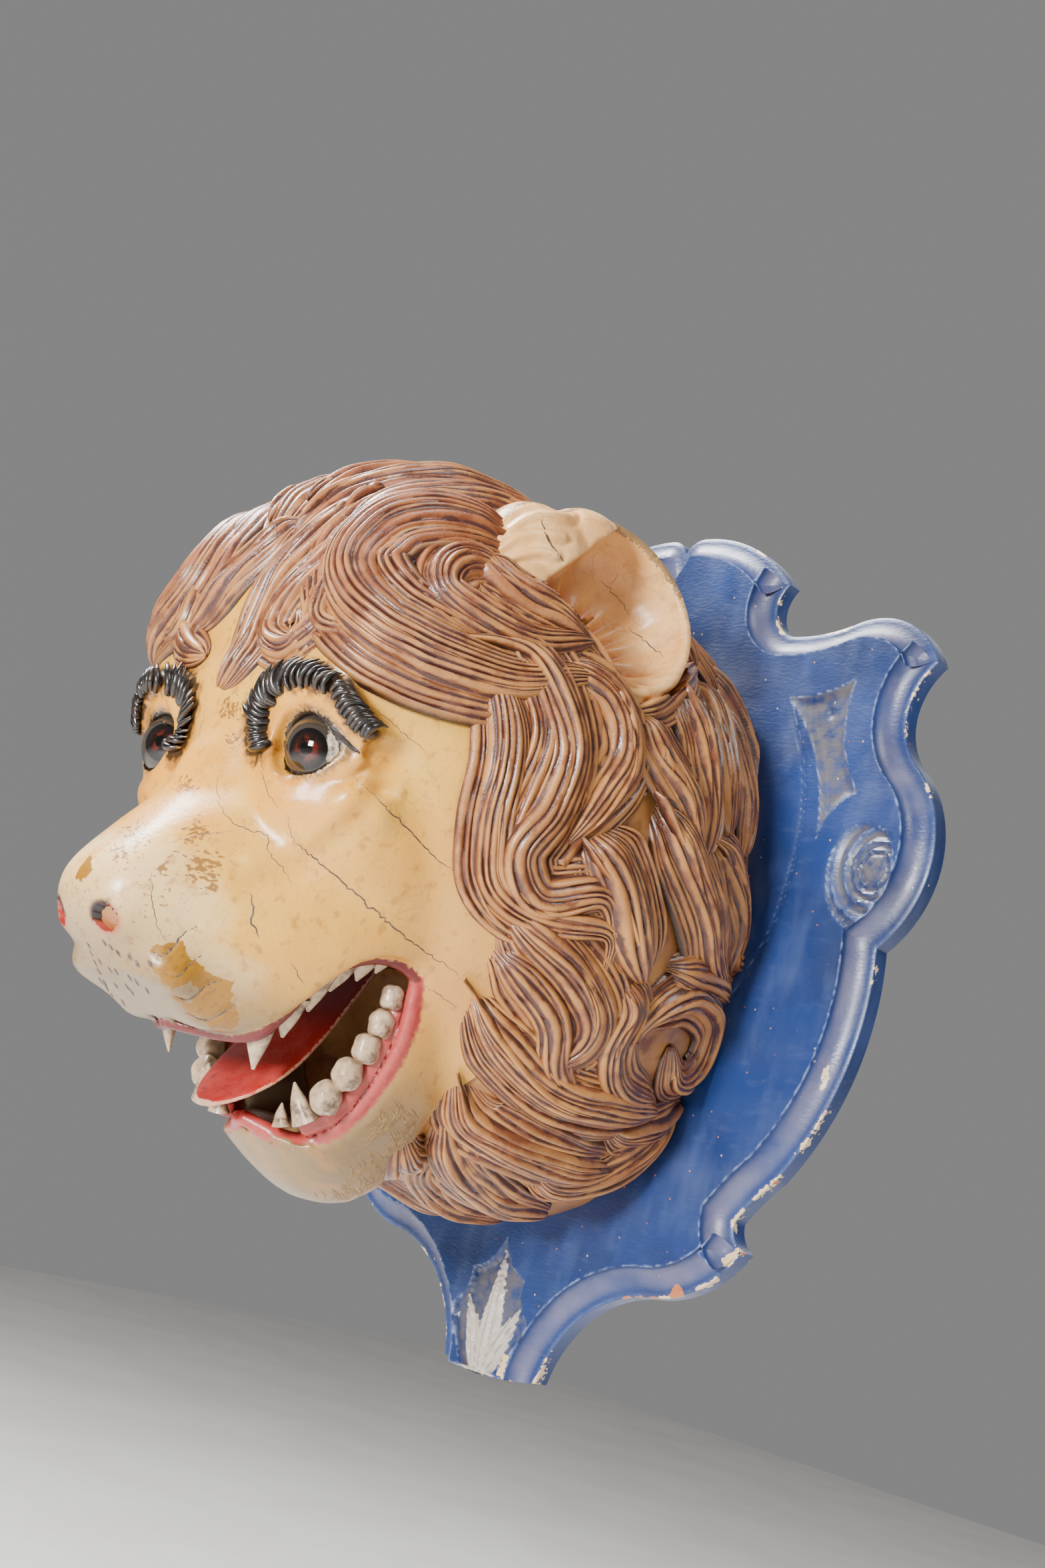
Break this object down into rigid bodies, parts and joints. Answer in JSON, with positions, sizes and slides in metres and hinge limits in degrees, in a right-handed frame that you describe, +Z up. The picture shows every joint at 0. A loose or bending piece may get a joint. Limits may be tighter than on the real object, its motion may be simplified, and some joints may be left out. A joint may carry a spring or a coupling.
{
  "type": "lion wall mask",
  "caption": "Carved and painted wooden lion head with open jaws, full mane and glass eyes, mounted on a shaped blue backboard that hangs flat on a wall.",
  "frame": {"origin": "middle of the backboard's flat back face, on the wall's surface", "axes": "+Z up, the lion looks along -Y away from the wall, +X is the lion's left"},
  "size_m": [0.6342, 0.5063, 0.7255],
  "materials": {
    "blue_paint": "worn satin blue paint over wood",
    "cream_paint": "varnished cream, white and brown paint over carved wood",
    "red_paint": "worn satin red paint over wood",
    "left_eye_glass": "polished dark glass, painted behind",
    "right_eye_glass": "polished dark glass, painted behind"
  },
  "bodies": {
    "root": {"backboard": "blue_paint", "lion_head": "cream_paint", "tongue": "red_paint", "left_eye": "left_eye_glass", "right_eye": "right_eye_glass"}
  },
  "joints": []
}
